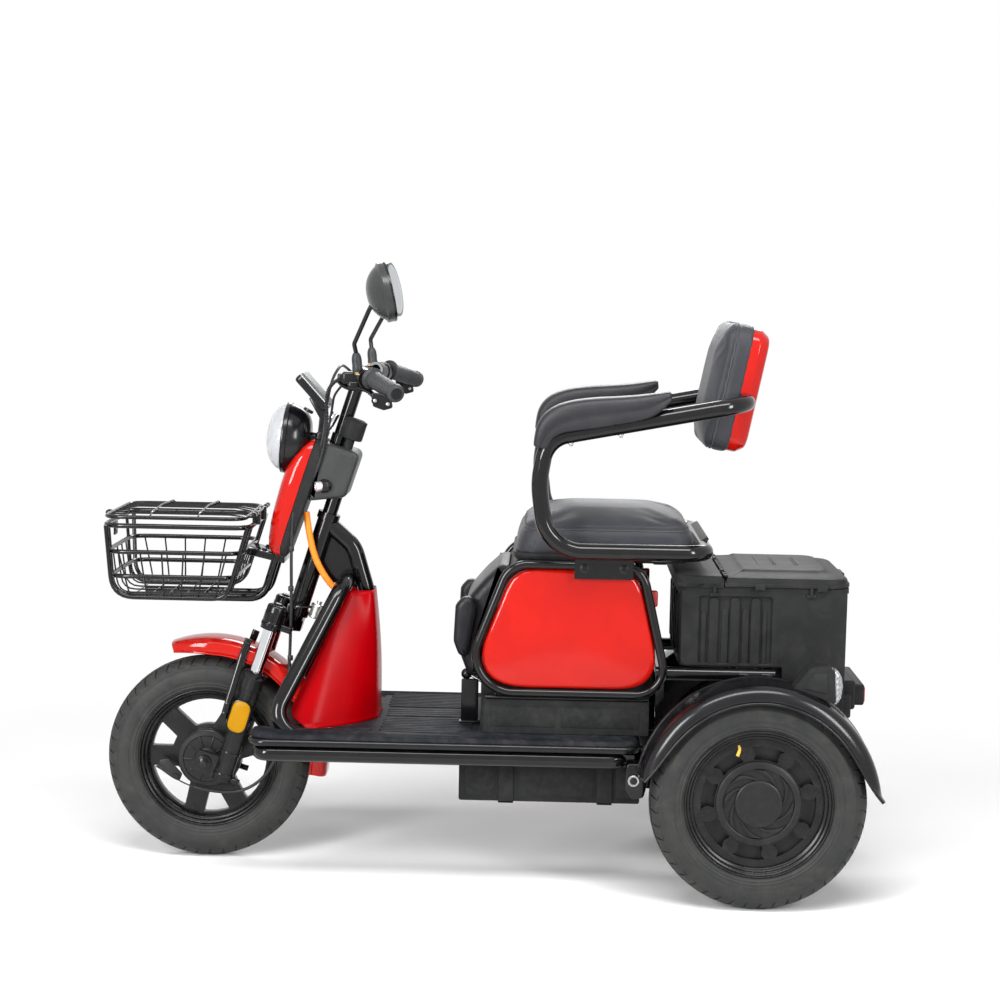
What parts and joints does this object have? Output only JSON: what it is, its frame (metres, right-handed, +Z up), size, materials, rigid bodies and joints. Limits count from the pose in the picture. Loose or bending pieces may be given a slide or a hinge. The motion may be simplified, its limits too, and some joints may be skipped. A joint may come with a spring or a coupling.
{
  "type": "electric three-wheeled leisure scooter",
  "caption": "Step-through electric three-wheeler with a steered front wheel, flat foot deck, seat with arm hoop and backrest, wire front basket and rear storage box.",
  "frame": {"origin": "on the floor, at the middle of the vehicle's plan box", "axes": "+X to the rear (the front wheel points to -X), +Z up, +Y to the rider's right"},
  "size_m": [1.5317, 0.692, 1.2067],
  "materials": {
    "tyre_rubber": "moulded rubber with shoulder grooves",
    "wheel_black": "satin black cast wheel",
    "frame_black": "gloss black paint on steel tube",
    "red_gloss": "gloss red bodywork",
    "black_gloss": "gloss black bodywork",
    "black_plastic": "textured black plastic",
    "foot_mat": "ribbed black foot mat",
    "vinyl": "black grained vinyl",
    "soft_grip": "dark grey moulded rubber",
    "grey_plastic": "dark grey plastic",
    "chrome": "bright plated tube",
    "clear_lens": "clear ribbed lens",
    "hose_orange": "orange sleeve",
    "cable_black": "black cable sleeve"
  },
  "bodies": {
    "chassis": {"main_frame": "frame_black", "leg_guard_hoop": "frame_black", "leg_shield": "red_gloss", "deck_frame": "frame_black", "footboard": "foot_mat", "battery_box": "black_plastic", "seat_frame": "frame_black", "seat_base": "black_plastic", "side_panels": "red_gloss", "seat_front_cover": "black_plastic", "seat_cushion": "vinyl", "armrest_hoop": "frame_black", "arm_pads": "soft_grip", "backrest_pad": "vinyl", "backrest_shell": "red_gloss", "carrier_rack": "frame_black", "storage_box": "black_plastic", "rear_fenders": "black_gloss", "tail_lamps": "clear_lens", "rear_bumper": "black_plastic", "rear_axle": "frame_black", "rear_suspension": "frame_black", "wiring_hose": "hose_orange"},
    "steering": {"steering_stem": "frame_black", "fork_stanchions": "chrome", "fork_lowers": "wheel_black", "front_axle": "wheel_black", "front_mudguard": "red_gloss", "handlebar": "frame_black", "grips": "soft_grip", "brake_levers": "frame_black", "mirrors": "grey_plastic", "display": "grey_plastic", "front_cowl": "red_gloss", "console_box": "black_plastic", "headlight": "grey_plastic", "headlight_lens": "clear_lens", "basket": "frame_black", "brake_cables": "cable_black"},
    "basket_lid": {"basket_lid": "frame_black"},
    "front_wheel": {"front_tyre": "tyre_rubber", "front_rim": "wheel_black"},
    "rear_wheel_left": {"rear_tyre_left": "tyre_rubber", "rear_rim_left": "wheel_black"},
    "rear_wheel_right": {"rear_tyre_right": "tyre_rubber", "rear_rim_right": "wheel_black"},
    "box_lid": {"box_lid": "black_plastic"}
  },
  "joints": [
    {"name": "steering", "type": "hinge", "parent": "chassis", "child": "steering", "pos_m": [-0.534, 0, 0], "axis": [0.299, 0, 0.9542], "range_deg": [-40, 40], "deforming": ["wiring_hose"]},
    {"name": "front_wheel_spin", "type": "hinge", "parent": "steering", "child": "front_wheel", "pos_m": [-0.552, 0, 0.2065], "axis": [0, 1, 0], "continuous": true},
    {"name": "rear_wheel_left_spin", "type": "hinge", "parent": "chassis", "child": "rear_wheel_left", "pos_m": [0.536, -0.296, 0.2065], "axis": [0, 1, 0], "continuous": true},
    {"name": "rear_wheel_right_spin", "type": "hinge", "parent": "chassis", "child": "rear_wheel_right", "pos_m": [0.536, 0.296, 0.2065], "axis": [0, 1, 0], "continuous": true},
    {"name": "box_lid_hinge", "type": "hinge", "parent": "chassis", "child": "box_lid", "pos_m": [0.472, 0, 0.619], "axis": [0, -1, 0], "range_deg": [0, 70]},
    {"name": "basket_lid_hinge", "type": "hinge", "parent": "steering", "child": "basket_lid", "pos_m": [-0.451, 0, 0.711], "axis": [0, 1, 0], "range_deg": [0, 80]}
  ]
}
